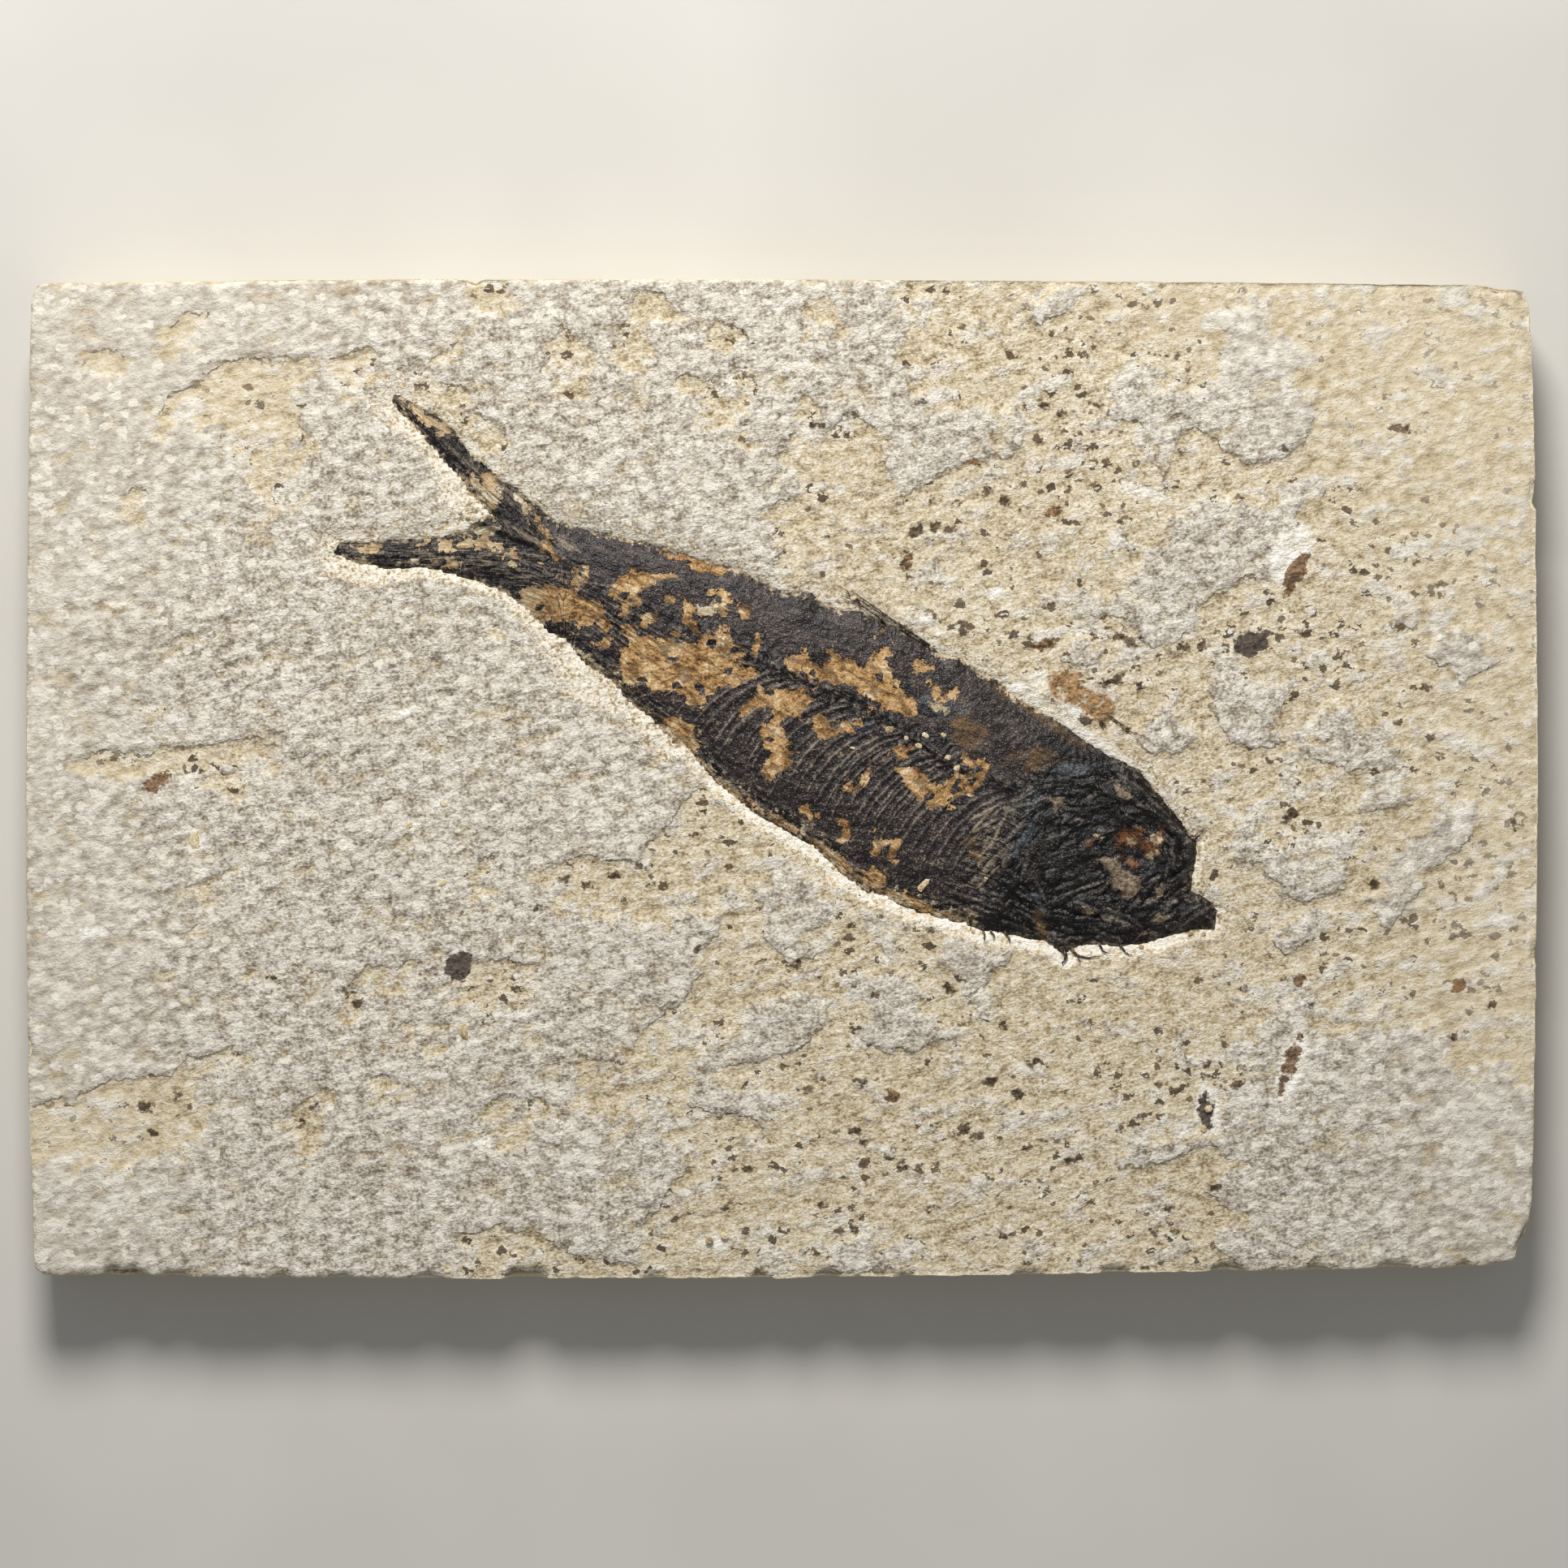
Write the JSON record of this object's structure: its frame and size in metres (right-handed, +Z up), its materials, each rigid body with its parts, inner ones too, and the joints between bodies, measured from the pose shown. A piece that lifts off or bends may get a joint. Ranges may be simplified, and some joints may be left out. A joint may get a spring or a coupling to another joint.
{
  "type": "fossil fish slab",
  "caption": "Flat sawn plate of pale laminated limestone with a dark fossil fish laid bare in its face; lies flat as a display piece.",
  "frame": {"origin": "under the middle of the slab's flat sawn back", "axes": "+X along the long side towards the fish's head, +Y across the slab towards the fish's back, +Z up out of the face that shows the fish"},
  "size_m": [0.1524, 0.1008, 0.0105],
  "materials": {
    "limestone": "matt split lamina, mottled grey and cream, with sawn sides and back",
    "fossil_bone": "satin carbon film and bone, near black with ochre brown patches"
  },
  "bodies": {
    "root": {"limestone_slab": "limestone", "fossil_fish": "fossil_bone"}
  },
  "joints": []
}
